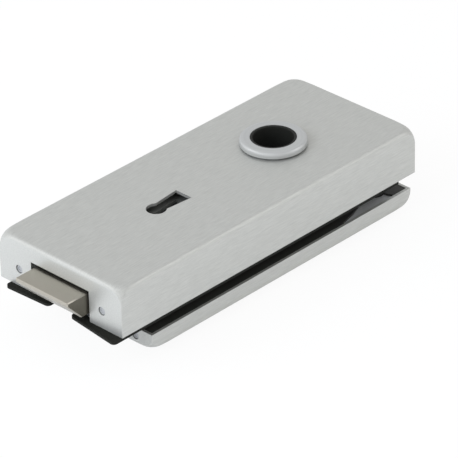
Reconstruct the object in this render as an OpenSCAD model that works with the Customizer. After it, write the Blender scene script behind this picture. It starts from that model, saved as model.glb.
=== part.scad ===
// Latch lock for a frameless glass door: a flat lock case on one face of the
// pane, a shallow counter tray on the other, and the lever and key working
// through both. X runs from the latch end to the lever end, Y across the case,
// and +Z out of the glass on the lock side. All sizes are millimetres.

/* [Case] */
// Length of the lock case
case_l = 160; // [150:1:180]
// Width of the lock case
case_w = 64; // [62:0.5:72]
// Height of the cover above the glass liner
case_h = 20; // [20:0.5:24]
// Thickness of the cover and tray sheet
wall = 1.2; // [1:0.1:1.4]
// Rounding of the long and short top edges
edge_r = 1.8; // [1.5:0.1:2.2]
// Rounding of the top corners, measured across the diagonal
corner_r = 6.2; // [5.5:0.1:6.6]
// Rounding of the top corners halfway between the diagonal and the edges
corner_side_r = 3.2; // [2.6:0.1:3.6]

/* [Glass gap and counter tray] */
// Distance between the cover's lower edge and the tray's rim
gap = 6.2; // [5.4:0.1:12]
// Height of the counter tray
tray_h = 7.4; // [7.2:0.1:9]
// Distance of the tray from the latch end of the case
tray_set_back = 15.2; // [12:0.1:16]
// Distance of the tray from the lever end of the case
tray_short = 2.2; // [1:0.1:4]
// Distance of the tray from each long side of the case
tray_side_inset = 0.3; // [0.1:0.1:1]
// Rounding of the tray's corners, measured across the diagonal
tray_corner_r = 5; // [4:0.1:5.4]
// Rounding of the tray's corners halfway between the diagonal and the edges
tray_corner_side_r = 2.8; // [2:0.1:3]
// Thickness of the rubber liner under the case
liner_t = 1.1; // [0.8:0.1:1.2]

/* [Lever] */
// Distance of the lever axis from the latch end
lever_x = 114.4; // [112:0.1:117]
// Radius of the bore that guides the lever neck
lever_bore_r = 8; // [7.5:0.1:8.5]
// Outer radius of the bearing ring
ring_r = 13.2; // [12.8:0.1:14]
// Height of the bearing ring above the cover
ring_h = 3.3; // [2.2:0.1:3.6]
// Across flats of the square spindle
spindle = 8; // [7:0.5:9]

/* [Key] */
// Distance of the key axis from the latch end
key_x = 50; // [49:0.1:52]
// Distance of the key axis from the middle line of the case
key_y = -0.6; // [-0.8:0.1:0]
// Radius of the round part of the keyhole
key_r = 3.95; // [3.8:0.05:4.3]
// Length of the keyhole slot from the key axis
key_slot_l = 14.65; // [13:0.05:15]
// Width of the keyhole slot where it leaves the round part
key_neck_w = 5.4; // [5.2:0.1:6.2]
// Width of the keyhole slot at its far end
key_end_w = 8.2; // [6.4:0.1:8.4]

/* [Latch] */
// How far the latch stands out of the case
latch_out = 10.1; // [8:0.1:10.5]
// Width of the latch head
latch_w = 27.4; // [24:0.1:27.6]
// Distance of the latch head's middle from the middle line of the case
latch_mid_y = -0.7; // [-0.8:0.1:0]
// Height of the latch nose above its bevel
latch_nose = 1.6; // [1.2:0.1:2.4]
// Width of the slot that the latch passes through
slot_w = 30.4; // [30.2:0.1:31]
// Top of the latch slot above the cover's lower edge
slot_top = 13.1; // [13:0.1:13.6]

/* [Hidden] */
$fn = 64;

// Finishes
ALUMINIUM = [0.76, 0.77, 0.78];
ZINC = [0.80, 0.82, 0.84];
STEEL = [0.62, 0.63, 0.64];
NICKEL = [0.60, 0.58, 0.54];
BLACK = [0.10, 0.10, 0.10];
NYLON = [0.85, 0.84, 0.78];

// Cutters run this much past the faces they open, fits leave this much between two
// pieces that move on each other, and pieces that only meet leave this much
past = 1;
run_gap = 0.15;
fit_gap = 0.05;

// Levels of the stack, from the cover's lower edge at zero
plate_z = 0.7;
plate_t = 1.9;
floor_z = plate_z + plate_t;
deck_z = 14.2;
deck_t = 1.4;
roof_z = case_h - wall;
key_room_z = 5.2;
rim_z = -gap;
tray_floor_z = rim_z - tray_h;
counter_liner_t = 0.85;
counter_liner_z = rim_z - 0.15;
counter_plate_t = 2;
counter_top_z = counter_liner_z - counter_liner_t;
counter_low_z = counter_top_z - counter_plate_t;
foot_z = tray_floor_z - ring_h;
ring_lift = 0.3;

// Plan of the tray
tray_x = tray_set_back;
tray_l = case_l - tray_set_back - tray_short;
tray_w = case_w - 2 * tray_side_inset;

// The plates lie this far inside the cover and tray walls
plate_play = 0.2;
plate_edge = wall + plate_play;
plate_cut = 1;

// Clamping pattern, shared by the screws, sleeves, pillars and plates
clamp_x = [27, 147];
clamp_y = 22;
clamp_r = 2.5;
pillar_r = 4;
sleeve_r = 4.5;
CLAMPS = [for (x = clamp_x, side = [-1, 1]) [x, side * clamp_y]];
MID_PILLARS = [[97, -25.5], [97, 25.5]];
PILLARS = concat(CLAMPS, MID_PILLARS);
deck_screw_r = 1.5;

// Levels in the pillars: the clamp screws reach up into a blind bore, and the
// screws of the mechanism plate reach down into another
clamp_tip_z = 8.5;
clamp_bore_top = 9;
deck_bore_low = 10.5;
deck_screw_tip_z = 11;

// Grub screws in the end walls
grub_r = 1.6;
grub_l = 5;
grub_y = 21.7;
grub_z = 7.3;
grub_sunk = 0.7;
counter_grub_y = 22.9;
counter_grub_z = rim_z - 3.45;
lug_t = 2;
lug_half_w = 4;
lug_top_z = 11;

// Lever axis
hub_r = 11;
hub_z = floor_z + 0.2;
hub_h = 7.4;
journal_low_r = 7;
journal_top_r = 9;
journal_top_h = 2;
neck_stop_z = 12.4;
bush_r = 9;
neck_r = 11;
bush_flange_r = 12.5;
bush_flange_z = 10.45;
arm_reach = 15;
arm_half_w = 2.5;
latch_arm_z = [5.1, 9.1];
spring_arm_z = [7.7, 10.2];

// Latch bolt
latch_z = floor_z + run_gap;
latch_top = 12;
latch_back = 12;
bevel_run = 7;
tail_t = 2;
tail_z = hub_z;
tail_y = [11.7, 17.5];
lug_x = lever_x + arm_half_w + 0.3;
latch_travel = latch_out;

// Where the tail plate is let into the underside of the head and riveted to it
tail_root_x = 3;
tail_root_y = [2.5, 12];
rivet_r = 1.25;
rivet_top = 9;
TAIL_RIVETS = [[6, 5], [6, 9.5]];

// Springs
wire_r = 0.5;
latch_spring_r = 3.1;
latch_spring_y = -6.5;
latch_spring_z = 7.5;
pocket_x = 5;
latch_stop_x = 33;
follower_spring_r = 2;
follower_spring_z = 9.7;
follower_stop_x = 92;
tab_t = 1.5;
spigot_l = 4;
latch_tab_low = 3.4;
follower_tab_low = 7.4;

// Locking slide
slide_t = 1.8;
slide_throw = 6;
slide_pin_r = 1.9;
slide_pin_y = -19.5;
SLIDE_PINS = [[42, slide_pin_y], [76, slide_pin_y]];
TAIL_PIN = [76, (tail_y[0] + tail_y[1]) / 2];
tail_pin_r = 1.5;

// Rubber liner under the case, set back from the latch end
liner_x = 2.5;

// Places the lock coordinates in the frame of the whole: the origin lies under the
// middle of the box that holds the lock, latch out
mid_x = (case_l - latch_out) / 2;
module seat() {
    translate([-mid_x, 0, -foot_z]) children();
}

// Basic forms

// Tube or disc on the Z axis between two levels, with an optional bore
module ring(r, z, bore = 0) {
    translate([0, 0, z[0]]) difference() {
        cylinder(h = z[1] - z[0], r = r);
        if (bore > 0) translate([0, 0, -past]) cylinder(h = z[1] - z[0] + 2 * past, r = bore);
    }
}

// Block between two corners
module block(low, high) {
    translate(low) cube(high - low);
}

// Sheet-metal plate between two corners, its four vertical edges cut off at 45 degrees
module plate(low, high, cut) {
    translate([0, 0, low[2]]) linear_extrude(height = high[2] - low[2]) polygon([
        [low[0] + cut, low[1]], [high[0] - cut, low[1]], [high[0], low[1] + cut],
        [high[0], high[1] - cut], [high[0] - cut, high[1]], [low[0] + cut, high[1]],
        [low[0], high[1] - cut], [low[0], low[1] + cut]
    ]);
}

// Rod along +X from x[0] to x[1]
module rod_x(r, x, fn = 0) {
    translate([x[0], 0, 0]) rotate([0, 90, 0]) cylinder(h = x[1] - x[0], r = r, $fn = fn > 0 ? fn : $fn);
}

// Slot with round ends, lying along X between two centres
module slot_2d(r, x) {
    translate([x[0], -r]) square([x[1] - x[0], 2 * r]);
    for (c = x) translate([c, 0]) circle(r);
}

// Section of a sheet cover: a rectangle with its two upper corners rounded
module cover_section(l, h, r) {
    square([l, h - r]);
    translate([r, 0]) square([l - 2 * r, h]);
    for (x = [r, l - r]) translate([x, h - r]) circle(r);
}

// Cuts one upper corner of a cover back to a cylinder of radius r, whose axis
// lies level and whose plan normal is turned by a from the X axis
module corner_cut(r, a, h) {
    rotate([0, 0, a]) translate([0, 0, h - r]) rotate([90, 0, 0])
        linear_extrude(height = 6 * r, center = true) difference() {
            translate([-past, 0]) square([r + past, r + past]);
            translate([r, 0]) circle(r);
        }
}

// Solid block with rounded upper edges and softer upper corners. The vertical
// edges stay sharp: each corner cut runs through its vertical edge
module soft_block(l, w, h, r, corner, between) {
    difference() {
        intersection() {
            translate([0, w / 2, 0]) rotate([90, 0, 0]) linear_extrude(height = w) cover_section(l, h, r);
            translate([0, -w / 2, 0]) rotate([90, 0, 90]) linear_extrude(height = l) cover_section(w, h, r);
        }
        for (end = [0, 1], side = [-1, 1]) {
            translate([end * l, side * w / 2, 0]) mirror([end, 0, 0]) mirror([0, (side + 1) / 2, 0]) {
                corner_cut(corner, 45, h);
                if (between > 0) for (a = [22.5, 67.5]) corner_cut(between, a, h);
            }
        }
    }
}

// Sheet cover, open below: a soft block with a smaller one taken out of it
module sheet_cover(l, w, h, corner, between) {
    inner_edge_r = edge_r - wall + 0.2;
    difference() {
        soft_block(l, w, h, edge_r, corner, between);
        translate([wall, 0, -past])
            soft_block(l - 2 * wall, w - 2 * wall, h - wall + past, inner_edge_r, corner - 1, 0);
    }
}

// Keyhole: a round part and a slot that widens towards its far end
module keyhole_2d(grow = 0) {
    circle(key_r + grow);
    polygon([
        [0, -key_neck_w / 2 - grow],
        [key_slot_l + grow, -key_end_w / 2 - grow],
        [key_slot_l + grow, key_end_w / 2 + grow],
        [0, key_neck_w / 2 + grow]
    ]);
}

// Keyhole cut through everything between two levels
module keyhole(z, grow = 0) {
    translate([key_x, key_y, z[0] - past]) linear_extrude(height = z[1] - z[0] + 2 * past) keyhole_2d(grow);
}

// Coil spring along +X: rings of points round a helix, joined by triangles and
// closed by its two end rings
module coil_spring(r, wire, x, turns) {
    sides = 6;
    steps = 12;
    count = turns * steps;
    pitch = (x[1] - x[0] - 2 * wire) / turns;
    points = [for (i = [0:count], j = [0:sides - 1])
        let (a = 360 * i / steps, b = 360 * j / sides, q = r + wire * cos(b))
        [x[0] + wire + pitch * i / steps + wire * sin(b), q * cos(a), q * sin(a)]];
    near_halves = [for (i = [0:count - 1], j = [0:sides - 1])
        [i * sides + j, i * sides + (j + 1) % sides, (i + 1) * sides + (j + 1) % sides]];
    far_halves = [for (i = [0:count - 1], j = [0:sides - 1])
        [i * sides + j, (i + 1) * sides + (j + 1) % sides, (i + 1) * sides + j]];
    first = [for (j = [0:sides - 1]) sides - 1 - j];
    last = [for (j = [0:sides - 1]) count * sides + j];
    polyhedron(points, concat([first], near_halves, far_halves, [last]), convexity = 12);
}

// Hexagon-socket grub screw along +X, its socket at x = 0
module grub_screw() {
    socket_r = 0.87;
    socket_depth = 1.2;
    difference() {
        rod_x(grub_r, [0, grub_l]);
        rod_x(socket_r, [-past, socket_depth], 6);
    }
}

// Rounded lever-neck ring that stands proud of a cover and is held by its tube:
// the flange floats a hair above the sheet, the tube reaches in to level 0
module lever_ring(flange_z, tube_z, out_z) {
    top_round = 0.9;
    rotate_extrude() difference() {
        union() {
            translate([0, flange_z]) square([ring_r, out_z - top_round - flange_z]);
            translate([0, flange_z]) square([ring_r - top_round, out_z - flange_z]);
            translate([ring_r - top_round, out_z - top_round]) intersection() {
                circle(top_round);
                square(top_round);
            }
            translate([0, tube_z]) square([neck_r, flange_z - tube_z + past / 2]);
        }
        translate([-past, tube_z - past]) square([bush_r + fit_gap + past, out_z - tube_z + 2 * past]);
    }
}

// Case

module lock_cover() {
    color(ALUMINIUM) seat() difference() {
        sheet_cover(case_l, case_w, case_h, corner_r, corner_side_r);
        block([-past, -slot_w / 2, -past], [wall + past, slot_w / 2, slot_top]);
        for (side = [-1, 1]) translate([0, side * grub_y, grub_z]) {
            rod_x(grub_r + 0.15, [-past, wall + past]);
            rod_x(grub_r + 0.15, [case_l - wall - past, case_l + past]);
        }
        translate([lever_x, 0, 0]) ring(neck_r + 0.2, [roof_z - past, case_h + past]);
        keyhole([roof_z, case_h]);
    }
}

// End lug that takes a grub screw, standing between two levels just inside the wall
module screw_lug(y, z, screw_z) {
    difference() {
        block([plate_edge, y - lug_half_w, z[0]], [plate_edge + lug_t, y + lug_half_w, z[1]]);
        translate([0, y, screw_z]) rod_x(grub_r + fit_gap, [0, plate_edge + lug_t + past]);
    }
}

module base_plate() {
    color(ZINC) seat() {
        difference() {
            plate([plate_edge, -case_w / 2 + plate_edge, plate_z],
                [case_l - plate_edge, case_w / 2 - plate_edge, floor_z], plate_cut);
            for (p = CLAMPS) translate([p[0], p[1], 0]) ring(clamp_r + 0.1, [0, floor_z + past]);
            for (p = MID_PILLARS) translate([p[0], p[1], 0]) ring(deck_screw_r + fit_gap, [0, floor_z + past]);
            translate([lever_x, 0, 0]) ring(journal_low_r + fit_gap, [0, floor_z + past]);
            keyhole([plate_z, floor_z]);
        }
        for (side = [-1, 1]) {
            screw_lug(side * grub_y, [floor_z, lug_top_z], grub_z);
            translate([case_l, 0, 0]) mirror([1, 0, 0])
                screw_lug(side * grub_y, [floor_z, lug_top_z], grub_z);
        }
    }
}

// Bent-down tab of the mechanism plate that a spring bears on, with a spigot
// that centres the coil; the spigot points towards -X or +X
module spring_tab(x, y, spring_z, bore_r, low_z, way) {
    half_w = 4;
    block([x, y - half_w, low_z], [x + tab_t, y + half_w, deck_z + deck_t / 2]);
    translate([x + (way > 0 ? tab_t : 0), y, spring_z]) rod_x(bore_r, way > 0 ? [0, spigot_l] : [-spigot_l, 0]);
}

module mechanism_plate() {
    end_play = 4;
    side_play = 1.4;
    color(STEEL) seat() {
        difference() {
            plate([plate_edge + end_play, -case_w / 2 + plate_edge + side_play, deck_z],
                [case_l - plate_edge - end_play, case_w / 2 - plate_edge - side_play, deck_z + deck_t], plate_cut);
            for (p = PILLARS) translate([p[0], p[1], 0]) {
                ring(deck_screw_r + fit_gap, [deck_z - past, deck_z + deck_t + past]);
                translate([0, 0, deck_z + 0.3]) cylinder(h = deck_t, r1 = deck_screw_r, r2 = deck_screw_r + deck_t + 0.1);
            }
            translate([lever_x, 0, 0]) ring(neck_r + 0.1, [deck_z - past, deck_z + deck_t + past]);
            keyhole([deck_z, deck_z + deck_t], 0.4);
        }
        spring_tab(latch_stop_x, latch_spring_y, latch_spring_z, latch_spring_r - wire_r - 0.3,
            latch_tab_low, -1);
        spring_tab(follower_stop_x - tab_t, -arm_reach, follower_spring_z, follower_spring_r - wire_r - 0.3,
            follower_tab_low, 1);
    }
}

module pillars() {
    color(STEEL) seat() {
        for (p = CLAMPS) translate([p[0], p[1], 0]) difference() {
            ring(pillar_r, [floor_z, deck_z]);
            ring(clamp_r + fit_gap, [floor_z - past, clamp_bore_top]);
            ring(deck_screw_r + fit_gap, [deck_bore_low, deck_z + past]);
        }
        for (p = MID_PILLARS) translate([p[0], p[1], 0]) {
            difference() {
                ring(pillar_r, [floor_z, deck_z]);
                ring(deck_screw_r + fit_gap, [deck_bore_low, deck_z + past]);
            }
            ring(deck_screw_r, [plate_z, floor_z]);
        }
    }
}

// Countersunk cross-slotted screws that hold the mechanism plate on its pillars
module plate_screws() {
    head_h = deck_t - 0.35;
    top = deck_z + deck_t;
    cross_half_l = 1.6;
    cross_half_w = 0.3;
    cross_depth = 0.6;
    cross_turn = 30;
    color(ZINC) seat() for (p = PILLARS) translate([p[0], p[1], 0]) difference() {
        union() {
            ring(deck_screw_r, [deck_screw_tip_z, top - head_h + 0.1]);
            translate([0, 0, top - head_h]) cylinder(h = head_h, r1 = deck_screw_r, r2 = deck_screw_r + head_h);
        }
        for (a = [0, 90]) rotate([0, 0, a + cross_turn])
            block([-cross_half_l, -cross_half_w, top - cross_depth], [cross_half_l, cross_half_w, top + past]);
    }
}

// Latch

// Side view of the latch head: flat on top, bevelled underneath, with a small
// round nose
module latch_profile() {
    nose_r = 0.7;
    polygon([
        [latch_back, latch_z], [latch_back, latch_top],
        [-latch_out + nose_r, latch_top], [-latch_out, latch_top - nose_r],
        [-latch_out, latch_top - latch_nose], [-latch_out + bevel_run, latch_z]
    ]);
    translate([-latch_out + nose_r, latch_top - nose_r]) circle(nose_r);
}

module latch_head() {
    pocket_r = latch_spring_r + wire_r + 0.3;
    color(NICKEL) seat() difference() {
        translate([0, latch_mid_y + latch_w / 2, 0]) rotate([90, 0, 0])
            linear_extrude(height = latch_w) latch_profile();
        translate([0, latch_spring_y, latch_spring_z]) rod_x(pocket_r, [pocket_x, latch_back + past]);
        block([tail_root_x, tail_root_y[0] - fit_gap, latch_z - past],
            [latch_back + past, tail_root_y[1] + fit_gap, tail_z + tail_t + fit_gap]);
        for (p = TAIL_RIVETS) translate([p[0], p[1], 0]) ring(rivet_r + fit_gap, [latch_z, rivet_top + fit_gap]);
    }
}

// Strip that joins the head to the follower: let into the head, cranked round
// the key, slotted for its guide pin, and turned up behind the follower's arm
module latch_tail() {
    crank_x = 22;
    slot_x = [TAIL_PIN[0] - latch_travel - 0.3, TAIL_PIN[0] + 0.3];
    color(STEEL) seat() {
        difference() {
            translate([0, 0, tail_z]) linear_extrude(height = tail_t) difference() {
                polygon([
                    [tail_root_x + fit_gap, tail_root_y[0]], [crank_x - 8, tail_root_y[0]],
                    [crank_x, tail_y[0]], [lug_x + tail_t, tail_y[0]],
                    [lug_x + tail_t, tail_y[1]], [crank_x - 3, tail_y[1]],
                    [latch_back + 1.5, tail_root_y[1]], [tail_root_x + fit_gap, tail_root_y[1]]
                ]);
                translate([0, TAIL_PIN[1]]) slot_2d(tail_pin_r + 0.1, slot_x);
            }
            for (p = TAIL_RIVETS) translate([p[0], p[1], 0]) ring(rivet_r + fit_gap, [0, key_room_z]);
        }
        block([lug_x, tail_y[0], tail_z + tail_t - fit_gap], [lug_x + tail_t, tail_y[1], latch_arm_z[1]]);
    }
}

module tail_rivets() {
    color(STEEL) seat() for (p = TAIL_RIVETS) translate([p[0], p[1], 0])
        ring(rivet_r, [tail_z, rivet_top]);
}

// Plastic guide round the latch: a body behind the end wall, and a lip that is
// seen in the slot beside the latch
module latch_guide() {
    lip_x = 0.55;
    body_x = [wall + fit_gap, 10];
    lip_half_w = (slot_w - 0.4) / 2;
    body_half_w = 17.2;
    top = slot_top - 0.1;
    color(BLACK) seat() difference() {
        union() {
            block([lip_x, -lip_half_w, floor_z], [body_x[0] + past, lip_half_w, top]);
            block([body_x[0], -body_half_w, floor_z], [body_x[1], body_half_w, top]);
        }
        block([lip_x - past, latch_mid_y - latch_w / 2 - run_gap, floor_z - past],
            [body_x[1] + past, latch_mid_y + latch_w / 2 + run_gap, latch_top + run_gap]);
    }
}

module latch_spring() {
    color(STEEL) seat() translate([0, latch_spring_y, latch_spring_z])
        coil_spring(latch_spring_r, wire_r, [pocket_x + fit_gap, latch_stop_x - fit_gap], 8);
}

// Follower

// Arm of the follower, a bar with a round end, pointing along +Y
module arm(z) {
    translate([0, 0, z[0]]) linear_extrude(height = z[1] - z[0]) {
        translate([-arm_half_w, 0]) square([2 * arm_half_w, arm_reach]);
        translate([0, arm_reach]) circle(arm_half_w);
    }
}

module follower() {
    hub_top = hub_z + hub_h;
    color(ZINC) seat() translate([lever_x, 0, 0]) difference() {
        union() {
            ring(hub_r, [hub_z, hub_top]);
            ring(journal_low_r, [plate_z + 0.1, hub_z + fit_gap]);
            ring(journal_top_r, [hub_top - fit_gap, hub_top + journal_top_h]);
            arm(latch_arm_z);
            rotate([0, 0, 180]) arm(spring_arm_z);
        }
        block([-spindle / 2, -spindle / 2, 0], [spindle / 2, spindle / 2, case_h]);
    }
}

module follower_washer() {
    color(NYLON) seat() translate([lever_x, 0, 0])
        ring(hub_r, [floor_z, hub_z - fit_gap], journal_low_r + 0.2);
}

module follower_spring() {
    color(STEEL) seat() translate([0, -arm_reach, follower_spring_z])
        coil_spring(follower_spring_r, wire_r,
            [follower_stop_x + fit_gap, lever_x - arm_half_w - fit_gap], 7);
}

// Locking slide

module locking_slide() {
    body_x = [31.5, 84];
    body_y = [-24, -11];
    finger_end = 100;
    finger_y = [-21, -14];
    talon_mouth = 7.5;
    talon_floor = 4.2;
    talon_y = -16;
    color(ZINC) seat() translate([0, 0, key_room_z]) linear_extrude(height = slide_t) difference() {
        union() {
            translate([body_x[0], body_y[0]]) square([body_x[1] - body_x[0], body_y[1] - body_y[0]]);
            translate([body_x[1] - past, finger_y[0]])
                square([finger_end - body_x[1] + past, finger_y[1] - finger_y[0]]);
        }
        // talon that the key's bit moves the slide by
        polygon([
            [key_x - talon_mouth, body_y[1] + past], [key_x - talon_floor, talon_y],
            [key_x + talon_floor, talon_y], [key_x + talon_mouth, body_y[1] + past]
        ]);
        for (p = SLIDE_PINS) translate([0, p[1]])
            slot_2d(slide_pin_r + 0.1, [p[0] - slide_throw - 0.2, p[0] + 0.2]);
    }
}

// Pins riveted in the base plate: shouldered pins carry the slide, a plain one
// guides the tail
module guide_pins() {
    shoulder_r = 3;
    color(STEEL) seat() {
        for (p = SLIDE_PINS) translate([p[0], p[1], 0]) {
            ring(shoulder_r, [floor_z, key_room_z - fit_gap]);
            ring(slide_pin_r, [key_room_z - 2 * fit_gap, key_room_z + slide_t + 1.2]);
        }
        translate([TAIL_PIN[0], TAIL_PIN[1], 0]) ring(tail_pin_r, [floor_z, tail_z + tail_t + 1.2]);
    }
}

// Leaf spring clipped on the slide's first pin, which rubs on the slide and
// holds it where the key leaves it
module slide_spring() {
    leaf_t = 0.4;
    leaf_y = [-22, -17];
    top = key_room_z + slide_t;
    x = SLIDE_PINS[0][0];
    line = [[-4, 0.7], [5, 0.7], [17, fit_gap], [20, 0.6]];
    color(STEEL) seat() difference() {
        translate([x, leaf_y[1], top]) rotate([90, 0, 0]) linear_extrude(height = leaf_y[1] - leaf_y[0])
            polygon(concat(line, [for (i = [len(line) - 1:-1:0]) line[i] + [0, leaf_t]]));
        translate([x, SLIDE_PINS[0][1], 0]) ring(slide_pin_r + fit_gap, [top, top + 4]);
    }
}

// Lever bearings

module bearing_ring() {
    color(ALUMINIUM) seat() translate([lever_x, 0, 0])
        lever_ring(case_h + ring_lift, deck_z, case_h + ring_h);
}

// Black bush: a tube that guides the lever neck, and below the deck a flange
// that guides the follower's upper journal
module bearing_bush() {
    chamfer = 0.3;
    top = case_h + ring_h - 0.1;
    color(BLACK) seat() translate([lever_x, 0, 0]) difference() {
        union() {
            ring(bush_r, [deck_z - past, top]);
            ring(bush_flange_r, [bush_flange_z, deck_z - fit_gap]);
        }
        ring(lever_bore_r, [neck_stop_z, top + past]);
        ring(journal_top_r + fit_gap, [bush_flange_z - past, neck_stop_z]);
        translate([0, 0, top - chamfer]) cylinder(h = chamfer + 0.1, r1 = lever_bore_r, r2 = lever_bore_r + chamfer + 0.1);
    }
}

module cover_grub_screws() {
    color(ZINC) seat() for (side = [-1, 1]) {
        translate([grub_sunk, side * grub_y, grub_z]) grub_screw();
        translate([case_l - grub_sunk, side * grub_y, grub_z]) mirror([1, 0, 0]) grub_screw();
    }
}

// Glass side

// Plan of the rubber liner: the case's outline, short of both ends, with two
// tongues that show past the latch end
module liner_plan() {
    liner_end = case_l - 9.5;
    half = case_w / 2;
    tip_r = 1.7;
    near_tongue = [[-4.4, -half], [-1.9, -6.6]];
    far_tongue = [[-2.1, 4.7], [-3, 26.6]];
    tongue_root = 5;
    translate([liner_x, -half]) square([liner_end - liner_x, case_w]);
    for (t = [near_tongue, far_tongue]) hull() {
        for (p = t) translate([p[0] + tip_r, p[1] + (p == t[0] ? tip_r : -tip_r)]) circle(tip_r, $fn = 32);
        translate([tongue_root, t[0][1]]) square([1, t[1][1] - t[0][1]]);
    }
}

module case_liner() {
    color(BLACK) seat() difference() {
        union() {
            translate([0, 0, -liner_t]) linear_extrude(height = liner_t) liner_plan();
            block([liner_x, -case_w / 2 + plate_edge + 0.2, -fit_gap],
                [case_l - plate_edge - 10, case_w / 2 - plate_edge - 0.2, plate_z]);
        }
        for (p = CLAMPS) translate([p[0], p[1], 0]) ring(sleeve_r + fit_gap, [-liner_t - past, plate_z + past]);
        translate([lever_x, 0, 0]) ring(lever_bore_r, [-liner_t - past, plate_z + past]);
        keyhole([-liner_t, plate_z]);
    }
}

module spacer_sleeves() {
    color(BLACK) seat() for (p = CLAMPS) translate([p[0], p[1], 0])
        ring(sleeve_r, [counter_top_z, plate_z], clamp_r + 0.2);
}

// Pan-head screws that pull the counter plate towards the case
module clamp_screws() {
    head_r = 4.4;
    head_h = 2.4;
    socket_r = 2.3;
    socket_depth = 1.5;
    color(ZINC) seat() for (p = CLAMPS) translate([p[0], p[1], 0]) difference() {
        union() {
            ring(clamp_r, [counter_low_z - fit_gap, clamp_tip_z]);
            ring(head_r, [counter_low_z - head_h, counter_low_z]);
        }
        ring(socket_r, [counter_low_z - head_h - past, counter_low_z - head_h + socket_depth], $fn = 6);
    }
}

module counter_plate() {
    edge = wall + plate_play;
    lug_h = 2.4;
    color(ZINC) seat() {
        difference() {
            plate([tray_x + edge, -tray_w / 2 + edge, counter_low_z],
                [tray_x + tray_l - edge, tray_w / 2 - edge, counter_top_z], plate_cut);
            for (p = CLAMPS) translate([p[0], p[1], 0])
                ring(clamp_r + 0.1, [counter_low_z - past, counter_top_z + past]);
            translate([lever_x, 0, 0]) ring(bush_r + 0.1, [counter_low_z - past, counter_top_z + past]);
            keyhole([counter_low_z, counter_top_z]);
            counter_grub_holes();
        }
        for (side = [-1, 1], end = [0, 1]) difference() {
            translate([end == 0 ? tray_x + edge : tray_x + tray_l - edge - lug_t,
                side * counter_grub_y - lug_half_w, counter_low_z - lug_h])
                cube([lug_t, 2 * lug_half_w, lug_h + fit_gap]);
            counter_grub_holes();
        }
    }
}

// Bores of the four grub screws of the tray, through lug and plate edge
module counter_grub_holes() {
    for (side = [-1, 1]) translate([0, side * counter_grub_y, counter_grub_z]) {
        rod_x(grub_r + fit_gap, [tray_x - past, tray_x + grub_l + past]);
        rod_x(grub_r + fit_gap, [tray_x + tray_l - grub_l - past, tray_x + tray_l + past]);
    }
}

module counter_liner() {
    edge = wall + plate_play;
    color(BLACK) seat() difference() {
        block([tray_x + edge, -tray_w / 2 + edge, counter_top_z],
            [tray_x + tray_l - edge, tray_w / 2 - edge, counter_liner_z]);
        for (p = CLAMPS) translate([p[0], p[1], 0])
            ring(sleeve_r + fit_gap, [counter_top_z - past, counter_liner_z + past]);
        translate([lever_x, 0, 0]) ring(bush_r + 0.1, [counter_top_z - past, counter_liner_z + past]);
        keyhole([counter_top_z, counter_liner_z]);
    }
}

module counter_cover() {
    color(ALUMINIUM) seat() difference() {
        translate([tray_x, 0, rim_z]) mirror([0, 0, 1])
            sheet_cover(tray_l, tray_w, tray_h, tray_corner_r, tray_corner_side_r);
        for (side = [-1, 1]) translate([0, side * counter_grub_y, counter_grub_z]) {
            rod_x(grub_r + 0.15, [tray_x - past, tray_x + wall + past]);
            rod_x(grub_r + 0.15, [tray_x + tray_l - wall - past, tray_x + tray_l + past]);
        }
        translate([lever_x, 0, 0]) ring(neck_r + 0.2, [tray_floor_z - past, tray_floor_z + wall + past]);
        keyhole([tray_floor_z, tray_floor_z + wall]);
    }
}

module counter_grub_screws() {
    color(ZINC) seat() for (side = [-1, 1]) {
        translate([tray_x + grub_sunk, side * counter_grub_y, counter_grub_z]) grub_screw();
        translate([tray_x + tray_l - grub_sunk, side * counter_grub_y, counter_grub_z])
            mirror([1, 0, 0]) grub_screw();
    }
}

module counter_ring() {
    color(ALUMINIUM) seat() translate([lever_x, 0, 0]) mirror([0, 0, 1])
        lever_ring(-tray_floor_z + ring_lift, -counter_low_z, -foot_z);
}

module counter_bush() {
    chamfer = 0.3;
    low = foot_z + 0.1;
    color(BLACK) seat() translate([lever_x, 0, 0]) difference() {
        ring(bush_r, [low, counter_liner_z], lever_bore_r);
        translate([0, 0, low - 0.1]) cylinder(h = chamfer + 0.1, r1 = lever_bore_r + chamfer + 0.1, r2 = lever_bore_r);
    }
}

lock_cover();
base_plate();
mechanism_plate();
pillars();
plate_screws();
latch_guide();
latch_head();
latch_tail();
tail_rivets();
latch_spring();
follower();
follower_washer();
follower_spring();
locking_slide();
slide_spring();
guide_pins();
bearing_ring();
bearing_bush();
cover_grub_screws();
case_liner();
spacer_sleeves();
clamp_screws();
counter_plate();
counter_liner();
counter_cover();
counter_grub_screws();
counter_ring();
counter_bush();
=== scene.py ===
"""Looks of a latch lock for a frameless glass door.

The satin aluminium cover of the lock case lies uppermost, the counter tray below it, with the
gap for the pane between them. Shapes are given in millimetres on the lock's own axes: x from the
latch end, y from the middle of the case, z from the cover's lower edge.
"""

import math

import bpy
import numpy as np
from mathutils import Matrix, Vector


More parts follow.
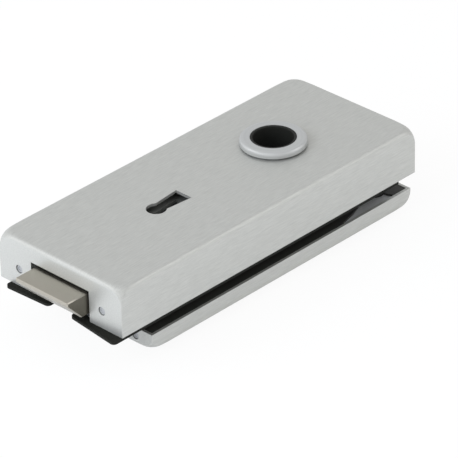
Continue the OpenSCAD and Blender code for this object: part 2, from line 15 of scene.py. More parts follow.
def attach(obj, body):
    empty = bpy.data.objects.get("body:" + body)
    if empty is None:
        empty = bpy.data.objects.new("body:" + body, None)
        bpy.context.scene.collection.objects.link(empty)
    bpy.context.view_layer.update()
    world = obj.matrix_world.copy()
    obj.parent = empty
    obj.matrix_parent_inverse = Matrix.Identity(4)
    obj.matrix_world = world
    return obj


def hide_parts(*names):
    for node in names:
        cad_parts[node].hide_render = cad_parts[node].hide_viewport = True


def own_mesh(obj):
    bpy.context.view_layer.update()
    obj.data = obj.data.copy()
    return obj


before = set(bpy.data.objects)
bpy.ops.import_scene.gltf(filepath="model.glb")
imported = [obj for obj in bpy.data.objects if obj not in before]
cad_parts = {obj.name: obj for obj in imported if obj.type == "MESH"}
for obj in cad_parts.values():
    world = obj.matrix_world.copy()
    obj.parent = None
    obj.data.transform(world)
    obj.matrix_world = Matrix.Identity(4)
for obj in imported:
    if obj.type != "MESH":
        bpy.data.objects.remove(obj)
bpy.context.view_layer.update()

MM = 0.001
SEAT = np.array([74.95, 0.0, -16.9])  # where the row's origin lies on the lock's axes

# Case
CASE_X = (0.0, 160.0)
CASE_HALF = 32.0
CASE_H = 20.0
CORNER_R = 5.2
SLOT_HALF = 15.2
SLOT_TOP = 13.1

# Counter tray, which opens upwards
RIM_Z = -6.2
TRAY_X = (15.2, 157.8)
TRAY_HALF = 31.7
TRAY_H = 7.4
TRAY_CORNER_R = 4.8

# Sheet of both covers
SHEET = 1.2
EDGE_R = 1.8
EDGE_STRIP = 9  # width of the strip along each edge that has close grid lines

# Keyhole, and the block of grid cells that gives way to it
KEYHOLE = np.array([50.0, -0.6])
KEYHOLE_R = 3.95
KEYHOLE_SLOT = (14.65, 5.4, 8.2)  # length, width at the round part, width at the far end
KEYHOLE_EYE = KEYHOLE + (3.5, 0)  # a point in the neck that sees the whole outline
KEYHOLE_X = (43, 71)
KEYHOLE_Y = 9

# Lever bore and bearing rings, and the block of grid cells that gives way to them
LEVER_X = 114.4
LEVER_R = 8
BUSH_R = 9
RING_R = 13.2
RING_HOLE_R = 11.2
RING_X = (100, 130)
RING_Y = 14

# Grub screws in the end walls: y, and height above the open edge of the cover or tray
COVER_SCREW = (21.7, 7.3)
TRAY_SCREW = (22.9, 3.45)
SCREW_R = 1.6
SOCKET_HALF = 0.87
SCREW_HOLE_R = 1.75
SCREW_BLOCK = (3, 2.1)  # half width and half height of the cells that give way to a screw's hole
SUNK = 0.45  # how far the screws stand back from the end walls

# Clamping screws, whose sleeves cross the gap
CLAMP_X = (27, 147)
CLAMP_Y = 22
SLEEVE_R = 4.5
SLEEVE_BLOCK = 6

# Latch
LATCH_OUT = 10.1
LATCH_Z = (2.75, 12)
LATCH_Y = (-14.4, 13)


# Colour and nodes


def linear(code):
    """A hex sRGB colour as linear RGBA: a channel c becomes c / 12.92 up to 0.04045, and above it
    ((c + 0.055) / 1.055) to the power 2.4."""
    c = np.array([int(code[i:i + 2], 16) for i in (1, 3, 5)]) / 255
    return (*np.where(c <= 0.04045, c / 12.92, ((c + 0.055) / 1.055) ** 2.4), 1.0)


def node(tree, kind, inputs=None, **settings):
    """Adds one node. inputs maps a socket to a value, or to the output that feeds it."""
    made = tree.nodes.new(kind)
    for name, value in settings.items():
        setattr(made, name, value)
    for name, value in (inputs or {}).items():
        if isinstance(value, bpy.types.NodeSocket):
            tree.links.new(value, made.inputs[name])
        else:
            made.inputs[name].default_value = value
    return made


# Surfaces


def in_row(points):
    """Points in millimetres on the lock's axes, as metres in the row's frame."""
    return ((np.asarray(points) - SEAT) * MM).tolist()


def piece(name, points, faces, body, material, stands_for, sharp=35, caps=()):
    """Makes a mesh that rides on a body, from points on the lock's axes. A four-sided face with two
    corners in one point becomes a triangle. caps holds faces with more corners."""
    once = faces != np.roll(faces, 1, axis=1)
    corners = once.sum(1)
    triangles = faces[corners == 3][once[corners == 3]].reshape(-1, 3)
    mesh = bpy.data.meshes.new(name)
    mesh.from_pydata(in_row(points), [],
                     [*faces[corners == 4].tolist(), *triangles.tolist(), *caps])
    mesh.shade_smooth()
    mesh.set_sharp_from_angle(angle=math.radians(sharp))
    mesh.materials.append(material)
    made = bpy.data.objects.new(name, mesh)
    bpy.context.scene.collection.objects.link(made)
    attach(made, body)
    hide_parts(*stands_for)
    return made


def quads(rows, cols, first=0, closed=False):
    """Faces of a grid of points stored row by row, turning from row to column. In a closed grid the
    last column meets the first."""
    at = first + np.arange(rows * cols).reshape(rows, cols)
    if closed:
        at = np.concatenate([at, at[:, :1]], 1)
    return np.stack([at[:-1, :-1], at[1:, :-1], at[1:, 1:], at[:-1, 1:]], -1).reshape(-1, 4)


def weld(points, faces, inner=None):
    """Joins points that lie together to 0.1 micrometre and drops those that no face uses. With the
    inner skin's points, gives a closed sheet: the inner faces turn round, and each open edge of the
    outer skin gets a face across to the inner one."""
    rounded, first, back = np.unique(
        np.round(points, 4), axis=0, return_index=True, return_inverse=True)
    used, faces_in = np.unique(back.reshape(-1)[faces], return_inverse=True)
    kept, faces = rounded[used], faces_in.reshape(faces.shape)
    if inner is None:
        return kept, faces
    edges = np.stack([faces, np.roll(faces, -1, 1)], -1).reshape(-1, 2)
    n = len(kept)
    rim = edges[~np.isin(edges @ [n, 1], edges @ [1, n])]
    across = np.column_stack([rim[:, ::-1], rim + n])
    inside = faces[:, ::-1] + n
    return np.concatenate([kept, inner[first[used]]]), np.concatenate([faces, inside, across])


def softened(corners, reach, count=5):
    """Rounds each corner P of a closed outline by count points of the quadratic curve from A, reach
    before it, to B, reach after it: (1-s)^2 A + 2 s (1-s) P + s^2 B."""
    p = np.asarray(corners, float)
    t = np.broadcast_to(np.asarray(reach, float), len(p))[:, None]
    before, after = np.roll(p, 1, 0) - p, np.roll(p, -1, 0) - p
    a = p + before / np.linalg.norm(before, axis=1)[:, None] * t
    b = p + after / np.linalg.norm(after, axis=1)[:, None] * t
    s = np.linspace(0, 1, count)[None, :, None]
    curve = (1 - s) ** 2 * a[:, None] + 2 * s * (1 - s) * p[:, None] + s ** 2 * b[:, None]
    return curve.reshape(-1, p.shape[1])


def turned(outline, centre, turns=128):
    """Turns a closed (radius, height) outline about an upright axis: the point is the centre plus
    the radius times (cos, sin), plus the height."""
    r, h = np.asarray(outline, float).T
    a = np.linspace(0, 2 * np.pi, turns + 1)[:, None]
    points = np.stack([r * np.cos(a), r * np.sin(a), h + 0 * a], -1) + np.asarray(centre, float)
    points = np.concatenate([points, points[:, :1]], 1)
    return weld(points.reshape(-1, 3), quads(turns + 1, len(r) + 1))


def bar(outline, span, chamfer):
    """A closed (x, z) outline carried along y. At each end the outline draws in by the chamfer along
    its own normals, and the last ring is closed by one face."""
    p = np.asarray(outline, float)
    tangent = np.roll(p, -1, 0) - np.roll(p, 1, 0)
    normal = np.stack([tangent[:, 1], -tangent[:, 0]], 1) / np.linalg.norm(tangent, axis=1)[:, None]
    y = np.array([span[0], span[0] + chamfer, span[1] - chamfer, span[1]])
    inset = np.array([chamfer, 0, 0, chamfer])
    rings = p[None] - inset[:, None, None] * normal[None]
    y = np.broadcast_to(y[:, None], rings.shape[:2])
    points = np.stack([rings[..., 0], y, rings[..., 1]], -1).reshape(-1, 3)
    ring = np.arange(len(p))
    caps = [ring[::-1].tolist(), (ring + 3 * len(p)).tolist()]
    return points, quads(4, len(p), closed=True), caps


def drop(d, r):
    """How far a rounded edge lies below the flat at distance d from its side:
    r - sqrt(r^2 - (r-d)^2)."""
    back = np.clip(r - d, 0, r)
    return r - np.sqrt(np.maximum(r * r - back * back, 0))


def cover_height(x, y, ends, half, height, corner, skin):
    """Height of a rounded cover's skin, or of the surface a given depth inside it: the flat less the
    largest of its drops in the directions a from 0 to 90 degrees in plan. Each is a quarter ellipse,
    r(a) = edge + (corner - edge) s wide and r(a) (1 + 0.4 s) tall, where s = sin(2a)^0.7. Inside,
    distances and half axes are less by the depth."""
    x, y = np.broadcast_arrays(x, y)
    dx = np.minimum(x - ends[0], ends[1] - x)
    dy = half - np.abs(y)
    falls = 0
    for a in np.radians(np.linspace(0, 90, 37)):
        s = max(math.sin(2 * a), 0) ** 0.7
        wide = EDGE_R + (corner - EDGE_R) * s
        tall = wide * (1 + 0.4 * s)
        away = dx * math.cos(a) + dy * math.sin(a)
        fall = drop(away - skin, wide - skin) * (tall - skin) / (wide - skin)
        falls = np.maximum(falls, fall)
    return height - skin - falls


def keyhole_rim(angle, centre):
    """The keyhole's outline seen from a point in its neck: the further of the ray's exits from the
    circle and from the flared slot, whose four sides give n . p = k."""
    ray = np.stack([np.cos(angle), np.sin(angle)], -1)
    away = centre - KEYHOLE
    b = ray @ away
    circle = -b + np.sqrt(b * b - away @ away + KEYHOLE_R ** 2)
    length, neck, end = KEYHOLE_SLOT
    flare = (end - neck) / 2 / length
    normals = np.array([[1, 0], [-1, 0], [-flare, 1], [-flare, -1]])
    reach = np.array([length, 0, neck / 2, neck / 2]) - normals @ away
    facing = ray @ normals.T
    slot = np.min(np.where(facing > 1e-9, reach / np.where(facing > 1e-9, facing, 1), 1e9), -1)
    return centre + ray * np.maximum(circle, slot)[:, None]


def circle_rim(radius):
    """A round hole's outline, as a function of the angle and the hole's centre."""
    return lambda angle, centre: (
        np.asarray(centre) + radius * np.stack([np.cos(angle), np.sin(angle)], -1))


# Holes as sheet() takes them: two corners of a block of cells, the hole's centre and its outline
KEYHOLE_OPENING = ((KEYHOLE_X[0], -KEYHOLE_Y), (KEYHOLE_X[1], KEYHOLE_Y), KEYHOLE_EYE, keyhole_rim)


def lever_opening(radius):
    """A round hole on the lever's axis."""
    return (RING_X[0], -RING_Y), (RING_X[1], RING_Y), (LEVER_X, 0.0), circle_rim(radius)


def opening(x, y, wide, tall, radius):
    """A round hole in the middle of its block, which is given by half its width and height."""
    return (x - wide, y - tall), (x + wide, y + tall), (x, y), circle_rim(radius)


def sheet(us, vs, holes=(), gaps=()):
    """A flat grid over us and vs. A hole's block of cells gives way to four rings of points that run
    from the block's border, ray by ray, to the hole's outline. A gap's cells are left out."""
    grid = np.stack(np.meshgrid(us, vs, indexing="ij"), -1)
    rows, cols = grid.shape[:2]
    cells = quads(rows, cols).reshape(rows - 1, cols - 1, 4)
    kept = np.ones(cells.shape[:2], bool)
    points, faces, count = [grid.reshape(-1, 2)], [], rows * cols
    for low, high, *hole in [*holes, *gaps]:
        i, j = (np.searchsorted(at, [a - 1e-6, b - 1e-6]) for at, a, b in zip((us, vs), low, high))
        kept[i[0]:i[1], j[0]:j[1]] = False
        if not hole:
            continue
        centre, rim = hole
        a, b = np.arange(*i), np.arange(*j)
        border = grid[np.concatenate([a, 0 * b + i[1], a[::-1] + 1, 0 * b + i[0]]),
                      np.concatenate([0 * a + j[0], b, 0 * a + j[1], b[::-1] + 1])]
        inner = rim(np.arctan2(*(border - centre).T[::-1]), centre)
        share = np.array([0, 0.45, 0.85, 1])[:, None, None]
        rings = border[None] + share * (inner - border)[None]
        rings = np.concatenate([rings, rings[:, :1]], 1)
        points.append(rings.reshape(-1, 2))
        faces.append(quads(4, rings.shape[1], count)[:, ::-1])
        count += rings.shape[0] * rings.shape[1]
    return np.concatenate(points), np.concatenate([*faces, cells[kept]])


def merged(*groups):
    """Grid lines of several groups in rising order, each once."""
    return np.unique(np.round(np.concatenate(groups), 6))


def steps(*stretches):
    """Grid lines: each stretch is (from, to, greatest spacing), and they follow each other."""
    return merged(*(np.linspace(a, b, max(math.ceil((b - a) / d), 1) + 1) for a, b, d in stretches))


def edge_lines(low, high):
    """Grid lines that crowd towards both sides: equal angles round the edge's radius, then every
    0.35 mm."""
    arc = EDGE_R * (1 - np.cos(np.linspace(0, np.pi / 2, 11)))
    lines = np.concatenate([arc, np.arange(EDGE_R + 0.15, EDGE_STRIP, 0.35)])
    return merged(low + lines, high - lines)


def pulled(v, low, high, skin):
    """Moves grid lines inwards by the skin at both sides, fading to nothing 6 mm in."""
    return v + skin * (np.clip(1 - (v - low) / 6, 0, 1) - np.clip(1 - (high - v) / 6, 0, 1))


def cover(name, ends, half, height, corner, lift, up, screw, slotted, stands_for):
    """A sheet cover: a rounded top with keyhole and ring hole, and four walls that meet it point for
    point, worked out once for the outer skin and once for the inner. Each wall's height levels are
    scaled to reach the top's border. up is 1, or -1 for a tray that opens upwards. screw is the
    grub screws' y and height, and slotted tells whether the latch's slot is in the first wall."""
    flat = height - EDGE_R
    screw_y, screw_z = screw
    wide, tall = SCREW_BLOCK
    # How far from the keyhole's middle line the rays through its far corners leave the block
    tip = ((KEYHOLE_X[1] - KEYHOLE_EYE[0]) * KEYHOLE_SLOT[2] / 2
           / (KEYHOLE[0] + KEYHOLE_SLOT[0] - KEYHOLE_EYE[0]))
    us = merged(
        edge_lines(*ends),
        steps((ends[0] + EDGE_STRIP, KEYHOLE_X[0], 3), (*KEYHOLE_X, 0.5),
              (KEYHOLE_X[1], RING_X[0], 4), (*RING_X, 1.2), (RING_X[1], ends[1] - EDGE_STRIP, 3)))
    strip = CASE_HALF - EDGE_STRIP
    vs = merged(
        edge_lines(-half, half),
        steps((-strip, -RING_Y, 1), (-RING_Y, -KEYHOLE_Y, 1), (-KEYHOLE_Y, KEYHOLE_Y, 0.5),
              (KEYHOLE_Y, RING_Y, 1), (RING_Y, strip, 1)),
        [KEYHOLE[1] - tip, KEYHOLE[1] + tip, -SLOT_HALF, SLOT_HALF],
        screw_y + np.linspace(-wide, wide, 13), -screw_y + np.linspace(-wide, wide, 13))
    levels = merged(steps((0, flat, 1.5)), [SLOT_TOP] if slotted else [],
                    screw_z + np.linspace(-tall, tall, 9))
    screws = [opening(s * screw_y, screw_z, wide, tall, SCREW_HOLE_R) for s in (-1, 1)]
    slot = [((-SLOT_HALF, 0), (SLOT_HALF, SLOT_TOP))] if slotted else []
    top, top_faces = sheet(us, vs, [KEYHOLE_OPENING, lever_opening(RING_HOLE_R)])
    side, side_faces = sheet(us, levels)
    front, front_faces = sheet(vs, levels, screws, slot)
    back, back_faces = sheet(vs, levels, screws)
    skins = []
    for skin in (0.0, SHEET):
        x, y = pulled(top[:, 0], *ends, skin), pulled(top[:, 1], -half, half, skin)
        parts = [np.column_stack([x, y, cover_height(x, y, ends, half, height, corner, skin)])]
        x = pulled(side[:, 0], *ends, skin)
        for y in (skin - half, half - skin):
            rise = side[:, 1] * cover_height(x, y, ends, half, height, corner, skin) / flat
            parts.append(np.column_stack([x, np.full(len(x), y), rise]))
        for wall, x in ((front, ends[0] + skin), (back, ends[1] - skin)):
            y = pulled(wall[:, 0], -half, half, skin)
            rise = wall[:, 1] * cover_height(x, y, ends, half, height, corner, skin) / flat
            parts.append(np.column_stack([np.full(len(y), x), y, rise]))
        skins.append(np.concatenate(parts))
    first = np.cumsum([0] + [len(p) for p in parts])
    faces = [top_faces, side_faces, side_faces[:, ::-1], front_faces[:, ::-1], back_faces]
    faces = np.concatenate([f + n for f, n in zip(faces, first)])
    points, faces = weld(skins[0], faces, skins[1])
    points[:, 2] = lift + up * points[:, 2]
    piece(name, points, faces[:, ::up], "case", aluminium, stands_for)


def coil(name, radius, wire, ends, centre, turns, stands_for):
    """Wire round a helix along x: the wire's circle stands across the path, whose pitch closes up
    over the first and last turn so that the ends lie flat."""
    path = np.linspace(0, turns, turns * 40 + 1)
    free = np.clip(path - 1, 0, turns - 2) / (turns - 2)
    ends = (ends[0] + wire, ends[1] - wire)
    closed = np.clip(path, 0, 1) + np.clip(path - turns + 1, 0, 1)
    x = ends[0] + closed * 2 * wire + free * (ends[1] - ends[0] - 4 * wire)
    a = 2 * np.pi * path[:, None]
    b = np.linspace(0, 2 * np.pi, 13)[None, :-1]
    r = radius + wire * np.cos(b)
    points = np.stack([x[:, None] + wire * np.sin(b), r * np.cos(a), r * np.sin(a)], -1)
    points = points + np.array([0, *centre])
    rows, cols = points.shape[:2]
    ring = np.arange(cols)
    caps = [ring[::-1].tolist(), (ring + (rows - 1) * cols).tolist()]
    faces = quads(rows, cols, closed=True)[:, ::-1]
    return piece(name, points.reshape(-1, 3), faces, "case", steel, stands_for, caps=caps)


# Finishes


def finish(name):
    """A new node material, with its tree, its shader and the Object coordinates."""
    made = bpy.data.materials.new(name)
    made.use_nodes = True
    tree = made.node_tree
    place = node(tree, "ShaderNodeTexCoord").outputs["Object"]
    return made, tree, tree.nodes["Principled BSDF"], place


def vary(tree, shader, tint, colours, dullness=None, roughness=()):
    """Runs the colour between two hex values with the pattern tint, and the roughness, where one is
    given, between two numbers with the pattern dullness."""
    low, high = map(linear, colours)
    colour = node(tree, "ShaderNodeMix", {0: tint, 6: low, 7: high}, data_type="RGBA").outputs[2]
    tree.links.new(colour, shader.inputs["Base Color"])
    if roughness:
        ends = {"To Min": roughness[0], "To Max": roughness[1]}
        dull = node(tree, "ShaderNodeMapRange", {"Value": dullness, **ends}).outputs[0]
        tree.links.new(dull, shader.inputs["Roughness"])


def grained(name, per_metre, detail, colours, sockets, roughness=(), relief=()):
    """A finish with one noise pattern for colour and roughness. per_metre is how many of its grains
    lie side by side in a metre, sockets holds the shader's own values, and relief is the strength
    of a bump and its height in metres."""
    made, tree, shader, place = finish(name)
    values = {"Vector": place, "Scale": per_metre, "Detail": detail}
    grain = node(tree, "ShaderNodeTexNoise", values).outputs["Fac"]
    vary(tree, shader, grain, colours, grain, roughness)
    for socket, value in sockets.items():
        shader.inputs[socket].default_value = value
    if relief:
        values = {"Height": grain, "Strength": relief[0], "Distance": relief[1]}
        tree.links.new(node(tree, "ShaderNodeBump", values).outputs[0], shader.inputs["Normal"])
    return made


# Anodised aluminium, brushed along the case before anodising: a quiet grey, part metal and part
# milky oxide, with fine lines. Real brush lines are 0.1 to 0.2 mm apart, under a pixel, so they are
# drawn 0.5 mm apart and 6 mm long. The gloss drifts slowly, over about 36 mm.
aluminium, tree, shader, place = finish("satin anodised aluminium")
along = node(tree, "ShaderNodeMapping", {"Vector": place, "Scale": (160, 1900, 1900)}).outputs[0]
values = {"Vector": along, "Scale": 1.0, "Detail": 4.0, "Roughness": 0.75}
lines = node(tree, "ShaderNodeTexNoise", values).outputs["Fac"]
values = {"Vector": place, "Scale": 28.0, "Detail": 2.0}
cloud = node(tree, "ShaderNodeTexNoise", values).outputs["Fac"]
vary(tree, shader, lines, ("#aeafac", "#d9dad6"), cloud, (0.38, 0.44))
shader.inputs["Metallic"].default_value = 0.62
values = {"Height": lines, "Strength": 0.5, "Distance": 0.00002}
tree.links.new(node(tree, "ShaderNodeBump", values).outputs[0], shader.inputs["Normal"])

# The same aluminium turned on a lathe: fine rings round the lever's axis, faint, and drawn 1.6 mm
# apart, because real ones of 0.1 mm wouldn't show.
turned_aluminium, tree, shader, place = finish("turned anodised aluminium")
axis = (-(LEVER_X - SEAT[0]) * MM, 0, 0)
centred = node(tree, "ShaderNodeMapping", {"Vector": place, "Location": axis}).outputs[0]
values = {"Vector": centred, "Scale": 200.0, "Distortion": 0.2}
rings = node(tree, "ShaderNodeTexWave", values, wave_type="RINGS", rings_direction="Z")
rings = rings.outputs["Fac"]
vary(tree, shader, rings, ("#c5c7c7", "#c9cbcb"), rings, (0.34, 0.36))
shader.inputs["Metallic"].default_value = 0.75

# Zinc die casting plated with satin nickel: a warmer and darker metal, faintly uneven over 6 mm.
nickel = grained("satin nickel plate", 160, 4, ("#b0aca2", "#bcb8ae"), {"Metallic": 1.0},
                 (0.27, 0.36))

# The same plating on the latch's two sides: duller as the unground casting, darker by painted shade,
# uneven over 4.5 mm.
shaded_side_nickel = grained("nickel plate, sides painted in shade", 220, 4, ("#7b776d", "#888479"), {"Metallic": 0.9},
                      (0.40, 0.48))

# Zinc-plated steel: pale, bluish and clear. The grain of rolled sheet, a few tenths of a millimetre,
# is drawn 2 mm across.
zinc = grained("zinc-plated steel", 500, 3, ("#c6cace", "#d4d8dc"), {"Metallic": 1.0},
               (0.22, 0.34))

# Plain rolled or drawn steel, lightly oiled: darker, with a soft gloss that varies over 3 mm.
steel = grained("oiled steel", 350, 3, ("#8b8c8d", "#a0a1a2"), {"Metallic": 1.0}, (0.28, 0.38))

# Phosphated steel sheet: the plate under the cover, a matt mid grey. Its crystals are far too fine
# to see, so the mottle is drawn 1 mm across.
phosphated = grained("phosphated steel", 1000, 2, ("#6f716e", "#7b7d7a"), {"Metallic": 0.2},
                     (0.6, 0.75))

# Zinc flake on the grub screws: a dull, pale grey metal that scatters light. The flakes are too fine
# to see, so the faint speckle is drawn 0.4 mm across.
flake = grained("zinc flake coat", 2500, 2, ("#a9abad", "#b9bbbd"), {"Metallic": 0.5}, (0.5, 0.6))

# Barrel-plated zinc on the counter plate: pale and milky, as many small knocks, 1 to 2 mm across,
# leave it.
tumbled_zinc = grained("barrel-plated zinc", 700, 3, ("#d4d6d7", "#e6e8e9"), {"Metallic": 0.2},
                       (0.40, 0.50))

# Black nylon, moulded: nearly black and matt. The mould's spark texture is about 0.3 mm across.
black_nylon = grained("moulded black nylon", 3000, 2, ("#191a18", "#21221f"),
                      {"Roughness": 0.6, "Specular IOR Level": 0.3}, relief=(0.3, 0.00003))

# Rubber sheet, sanded: the liner on the lock side, black and matt, with a grey bloom in patches of
# 8 mm.
matt_rubber = grained("sanded black rubber", 120, 3, ("#181916", "#20211d"),
                      {"Roughness": 0.8, "Specular IOR Level": 0.2})

# Rubber sheet, calendered: the liner in the tray, a very dark grey with a soft gloss at a low angle,
# and the same bloom.
rubber = grained("calendered rubber", 120, 3, ("#30312e", "#3b3c39"),
                 {"Specular IOR Level": 0.35}, (0.42, 0.52))

# Natural nylon: milky and slightly translucent, shown as a warm white that varies over 5 mm.
nylon = grained("natural nylon", 200, 2, ("#dcd9cc", "#e4e1d5"), {"Roughness": 0.45})

CARRIED = {
    "base_plate": zinc, "mechanism_plate": phosphated, "pillars": steel, "plate_screws": zinc,
    "latch_guide": black_nylon, "latch_tail": steel, "tail_rivets": steel, "follower": zinc,
    "follower_washer": nylon, "locking_slide": zinc, "slide_spring": steel, "guide_pins": steel,
    "case_liner": matt_rubber, "clamp_screws": zinc, "counter_plate": tumbled_zinc,
}
for name, material in CARRIED.items():
    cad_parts[name].material_slots[0].material = material

# Pieces

cover("cover", CASE_X, CASE_HALF, CASE_H, CORNER_R, 0.0, 1, COVER_SCREW, True, ["lock_cover"])
cover("tray", TRAY_X, TRAY_HALF, TRAY_H, TRAY_CORNER_R, RIM_Z, -1, TRAY_SCREW, False,
      ["counter_cover"])

# The liner in the tray: a rubber sheet, drawn in along both sides near the lever end, where the
# counter plate shows. Its half width follows an ellipse, then runs level, then goes back out, so
# that the black sheet covers the lever end as painted shade.
LINER_X = (TRAY_X[0] + 1.3, TRAY_X[1] - 1.3)
LINER_HALF = TRAY_HALF - 1.3
LINER_DEPTHS = (0.15, 1.0)  # of its two faces below the rim
BOW_X, BOW_L = 109.4, 46.6  # middle and half length of the ellipse
LEAST_HALF = 25.3
# Where the sheet goes back out, its black stands in for shade at the lever end: painted shade.
BACK_OUT = (147.5, 150.0)
sleeve_x, sleeve_y = ((c - SLEEVE_BLOCK, c + SLEEVE_BLOCK) for c in (CLAMP_X[0], CLAMP_Y))
fine = BACK_OUT[0] - 1.5
us = steps((LINER_X[0], sleeve_x[0], 1.5), (*sleeve_x, 1.2), (sleeve_x[1], KEYHOLE_X[0], 2.5),
           (*KEYHOLE_X, 0.5), (KEYHOLE_X[1], RING_X[0], 3), (RING_X[0], fine, 1.2),
           (fine, LINER_X[1], 0.4))
vs = steps((0, KEYHOLE_Y, 0.5), (KEYHOLE_Y, RING_Y, 1), (RING_Y, sleeve_y[0], 1), (*sleeve_y, 1),
           (sleeve_y[1], LINER_HALF, 0.6))
holes = [KEYHOLE_OPENING, lever_opening(BUSH_R + 0.1)]
holes += [opening(CLAMP_X[0], y, SLEEVE_BLOCK, SLEEVE_BLOCK, SLEEVE_R + 0.05)
          for y in (CLAMP_Y, -CLAMP_Y)]
plan, faces = sheet(us, merged(-vs, vs), holes)
x, y = plan.T
half = LINER_HALF * np.sqrt(1 - np.clip((x - BOW_X) / BOW_L, 0, 1) ** 2)
half = np.maximum(half, LEAST_HALF)
out = np.clip((x - BACK_OUT[0]) / (BACK_OUT[1] - BACK_OUT[0]), 0, 1)
half = half + (LINER_HALF - half) * out * out * (3 - 2 * out)
# Grid lines outside the middle strip move with the sheet's side, and those in it stay straight.
strip = sleeve_y[0]
outer = strip + (np.abs(y) - strip) * (half - strip) / (LINER_HALF - strip)
y = np.where(np.abs(y) > strip, np.sign(y) * outer, y)
skins = [np.column_stack([x, y, np.full(len(x), RIM_Z - depth)]) for depth in LINER_DEPTHS]
points, faces = weld(skins[0], faces, skins[1])
piece("tray_liner", points, faces, "case", rubber, ["counter_liner"])

# The bearing rings: a flange on a neck, with a shadow gap under the flange
NECK_R = 10.8
BORE_R = BUSH_R + 0.05
for name, node_name, side, low, top in (("ring_top", "bearing_ring", 1, 14.2, 23.3),
                                        ("ring_bottom", "counter_ring", -1, 9.2, 16.9)):
    under = top - 2.75
    outline = softened(
        [(BORE_R, low), (NECK_R, low), (NECK_R, under), (RING_R - 0.4, under),
         (RING_R, under + 0.2), (RING_R, top), (BORE_R, top)],
        [0.1, 0.1, 0.05, 0.1, 0.1, 1.7, 0.15], 9)
    points, faces = turned(outline * (1, side), (LEVER_X, 0, 0), 160)
    piece(name, points, faces[:, ::side], "case", turned_aluminium, [node_name], 50)

# The bushes, whose bores guide the lever necks
upper = softened(
    [(LEVER_R, 12.4), (9.05, 12.4), (9.05, 10.45), (12.5, 10.45), (12.5, 14.15), (BUSH_R, 14.15),
     (BUSH_R, 23.2), (LEVER_R, 23.2)],
    [0.05, 0.05, 0.1, 0.3, 0.3, 0.05, 0.15, 0.45])
lower = softened([(LEVER_R, -16.8), (BUSH_R, -16.8), (BUSH_R, -6.35), (LEVER_R, -6.35)],
                 [0.45, 0.15, 0.15, 0.3])
for name, node_name, outline in (("bush_top", "bearing_bush", upper),
                                 ("bush_bottom", "counter_bush", lower)):
    points, faces = turned(outline, (LEVER_X, 0, 0))
    piece(name, points, faces, "case", black_nylon, [node_name])

# The latch head: flat on top, bevelled below, its nose rounded, its two sides duller and painted
# darker as shade
nose = softened(
    [(12, LATCH_Z[0]), (12, LATCH_Z[1]), (-LATCH_OUT, LATCH_Z[1]), (-LATCH_OUT, 10.4),
     (-3.1, LATCH_Z[0])],
    [0.3, 0.3, 0.6, 0.35, 0.5], 7)
points, faces, caps = bar(nose, LATCH_Y, 0.4)
bolt = piece("latch_bolt", points, faces, "latch", nickel, ["latch_head"], caps=caps)
bolt.data.materials.append(shaded_side_nickel)
# The faces that look along y take the darker nickel: painted shade.
normals = np.zeros(3 * len(bolt.data.polygons))
bolt.data.polygons.foreach_get("normal", normals)
shaded_sides = np.abs(normals[1::3]) > 0.99
bolt.data.polygons.foreach_set("material_index", shaded_sides.astype(np.int32))

# Spacer sleeves that cross the gap
wall = softened([(2.7, -7.2), (SLEEVE_R, -7.2), (SLEEVE_R, 0.7), (2.7, 0.7)], 0.2)
sleeves = [turned(wall, (x, y, 0), 64) for x in CLAMP_X for y in (-CLAMP_Y, CLAMP_Y)]
size = len(sleeves[0][0])
faces = np.concatenate([f + k * size for k, (_, f) in enumerate(sleeves)])
piece("sleeves", np.concatenate([p for p, _ in sleeves]), faces, "case", black_nylon,
      ["spacer_sleeves"])

# Grub screws: a chamfered stub with a shallow six-sided socket. Its rings of points run from the
# middle of the socket over its rim, along the stub, and in to the middle of the other end.
angle = np.linspace(0, 2 * np.pi, 97)[:-1]
hexagon = SOCKET_HALF / np.cos((angle % (np.pi / 3)) - np.pi / 6)
middle = 0 * angle
radii = np.stack([middle, hexagon, hexagon,
                  *(middle + r for r in (SCREW_R - 0.15, SCREW_R, SCREW_R, SCREW_R - 0.2, 0))])
depths = np.array([0.2, 0.18, 0.0, 0.0, 0.15, 4.7, 5.0, 5.0])[:, None] + middle
stub = np.stack([depths, radii * np.cos(angle), radii * np.sin(angle)], -1)
stub = np.concatenate([stub, stub[:, :1]], 1).reshape(-1, 3)
stub, stub_faces = weld(stub, quads(8, 97))


def grub_screws(name, ends, y, z, stands_for):
    """Four stubs, their sockets just inside the end walls: the second pair is the first mirrored."""
    places = [(x, s, y * t) for x, s in zip(ends, (1, -1)) for t in (-1, 1)]
    points = np.concatenate([stub * (s, 1, 1) + (x + SUNK * s, w, z) for x, s, w in places])
    faces = [stub_faces[:, ::-s] + k * len(stub) for k, (_, s, _) in enumerate(places)]
    piece(name, points, np.concatenate(faces), "case", flake, [stands_for], 30)


grub_screws("cover_screws", CASE_X, *COVER_SCREW, "cover_grub_screws")
grub_screws("tray_screws", TRAY_X, TRAY_SCREW[0], RIM_Z - TRAY_SCREW[1], "counter_grub_screws")

# The springs: a coil of wire along x for each, with a mesh of its own
LATCH_STOP = [33, -6.5, 7.5]
FOLLOWER_STOP = [92, -15, 9.7]
spring = coil("latch_coil", 3.1, 0.5, (5.05, 32.95), LATCH_STOP[1:], 9, ["latch_spring"])
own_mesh(spring)
spring = coil("follower_coil", 2.0, 0.45, (92.05, 111.85), FOLLOWER_STOP[1:], 8,
              ["follower_spring"])
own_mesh(spring)

# Camera, fitted to the case's straight edges: its place on the lock's axes, and the directions of
# its right, up and back as columns, made square to each other
CAMERA_AT = [-798.7, -870.3, 744.3]
CAMERA_TURN = [[0.6913, 0.3854, -0.6112], [-0.7223, 0.3453, -0.5992], [-0.0199, 0.8557, 0.5170]]
camera = bpy.data.objects.new("camera", bpy.data.cameras.new("camera"))
bpy.context.scene.collection.objects.link(camera)
camera.data.lens = 298.67
camera.data.sensor_width = 36
camera.data.clip_end = 20
u, _, w = np.linalg.svd(np.array(CAMERA_TURN))
turn = Matrix((u @ w).tolist()).to_4x4()
camera.matrix_world = Matrix.Translation(in_row(CAMERA_AT)) @ turn
bpy.context.scene.camera = camera

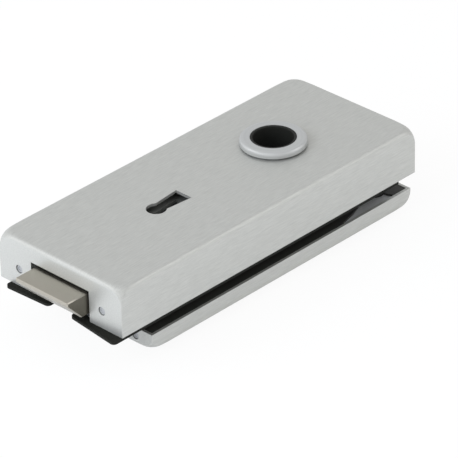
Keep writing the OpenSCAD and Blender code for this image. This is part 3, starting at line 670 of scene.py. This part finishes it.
# A soft box high on the left, which lights the latch end and shows in no mirror
lamp = bpy.data.objects.new("soft box", bpy.data.lights.new("soft box", "AREA"))
bpy.context.scene.collection.objects.link(lamp)
lamp.data.shape = "RECTANGLE"
lamp.data.size, lamp.data.size_y = 0.9, 0.5
lamp.data.energy = 6.9
lamp.data.color = linear("#eaf2ff")[:3]
lamp.location = (-0.85, 0.20, 0.58)
aim = Vector(lamp.location) - Vector((0, 0, 0.02))
lamp.rotation_euler = aim.to_track_quat("Z", "Y").to_euler()
lamp.visible_camera = lamp.visible_glossy = False

# The floor: white paper that takes the object's shadow. The camera sees most of it as plain white,
# and reflections see part of it so.
SEEN_WHITE = 0.92
MIRRORED_WHITE = 0.24
floor_mesh = bpy.data.meshes.new("floor")
floor_mesh.from_pydata([(-4, -4, 0), (4, -4, 0), (4, 4, 0), (-4, 4, 0)], [], [(0, 1, 2, 3)])
floor = bpy.data.objects.new("floor", floor_mesh)
bpy.context.scene.collection.objects.link(floor)
ground = bpy.data.materials.new("white paper")
ground.use_nodes = True
tree = ground.node_tree
tree.nodes.clear()
ray = node(tree, "ShaderNodeLightPath").outputs
paper = node(tree, "ShaderNodeBsdfDiffuse", {"Color": linear("#fafafa")}).outputs[0]
glow = node(tree, "ShaderNodeEmission", {"Color": (1, 1, 1, 1), "Strength": 1.0}).outputs[0]
mirrors = {0: ray["Is Glossy Ray"], 1: ray["Is Transmission Ray"]}
share = node(tree, "ShaderNodeMath", mirrors, operation="MAXIMUM").outputs[0]
share = node(tree, "ShaderNodeMath", {0: share, 1: MIRRORED_WHITE}, operation="MULTIPLY").outputs[0]
seen = {0: ray["Is Camera Ray"], 1: SEEN_WHITE, 2: share}
share = node(tree, "ShaderNodeMath", seen, operation="MULTIPLY_ADD").outputs[0]
both = node(tree, "ShaderNodeMixShader", {0: share, 1: paper, 2: glow}).outputs[0]
node(tree, "ShaderNodeOutputMaterial", {"Surface": both})
floor_mesh.materials.append(ground)

# The studio round the object: even light, a little stronger on the left. Three sheets of card draw
# the light lines along the cover's edges: a small one high at the near right, a wider one below it
# and one at the far left.
EVEN_LIGHT = 0.70
world = bpy.data.worlds.new("studio")
bpy.context.scene.world = world
world.use_nodes = True
tree = world.node_tree
tree.nodes.clear()
ray = node(tree, "ShaderNodeLightPath").outputs
look = node(tree, "ShaderNodeTexCoord").outputs["Generated"]


def patch(direction, inner, outer, level, under):
    """Adds level to what is under it, within inner degrees of a direction, fading out to outer."""
    d = np.array(direction) / np.linalg.norm(direction)
    near = node(tree, "ShaderNodeVectorMath", {0: look, 1: tuple(d)}, operation="DOT_PRODUCT")
    values = {"Value": near.outputs["Value"], "From Min": math.cos(math.radians(outer)),
              "From Max": math.cos(math.radians(inner))}
    part = node(tree, "ShaderNodeMapRange", values, interpolation_type="SMOOTHSTEP").outputs[0]
    values = {0: part, 1: level, 2: under}
    return node(tree, "ShaderNodeMath", values, operation="MULTIPLY_ADD").outputs[0]


light = patch((-0.90, 0.30, 0.15), 30, 95, 0.3, EVEN_LIGHT)
light = patch((0.61, -0.50, 0.62), 4, 15, 0.9, light)
light = patch((0.50, -0.75, 0.42), 8, 40, 0.3, light)
light = patch((-0.55, 0.60, 0.60), 6, 22, 0.55, light)
light = node(tree, "ShaderNodeMix", {0: ray["Is Camera Ray"], 2: light, 3: 1.0}).outputs[0]
sky = node(tree, "ShaderNodeBackground", {"Color": (1, 1, 1, 1), "Strength": light}).outputs[0]
node(tree, "ShaderNodeOutputWorld", {"Surface": sky})

bpy.context.scene.view_settings.view_transform = "Standard"
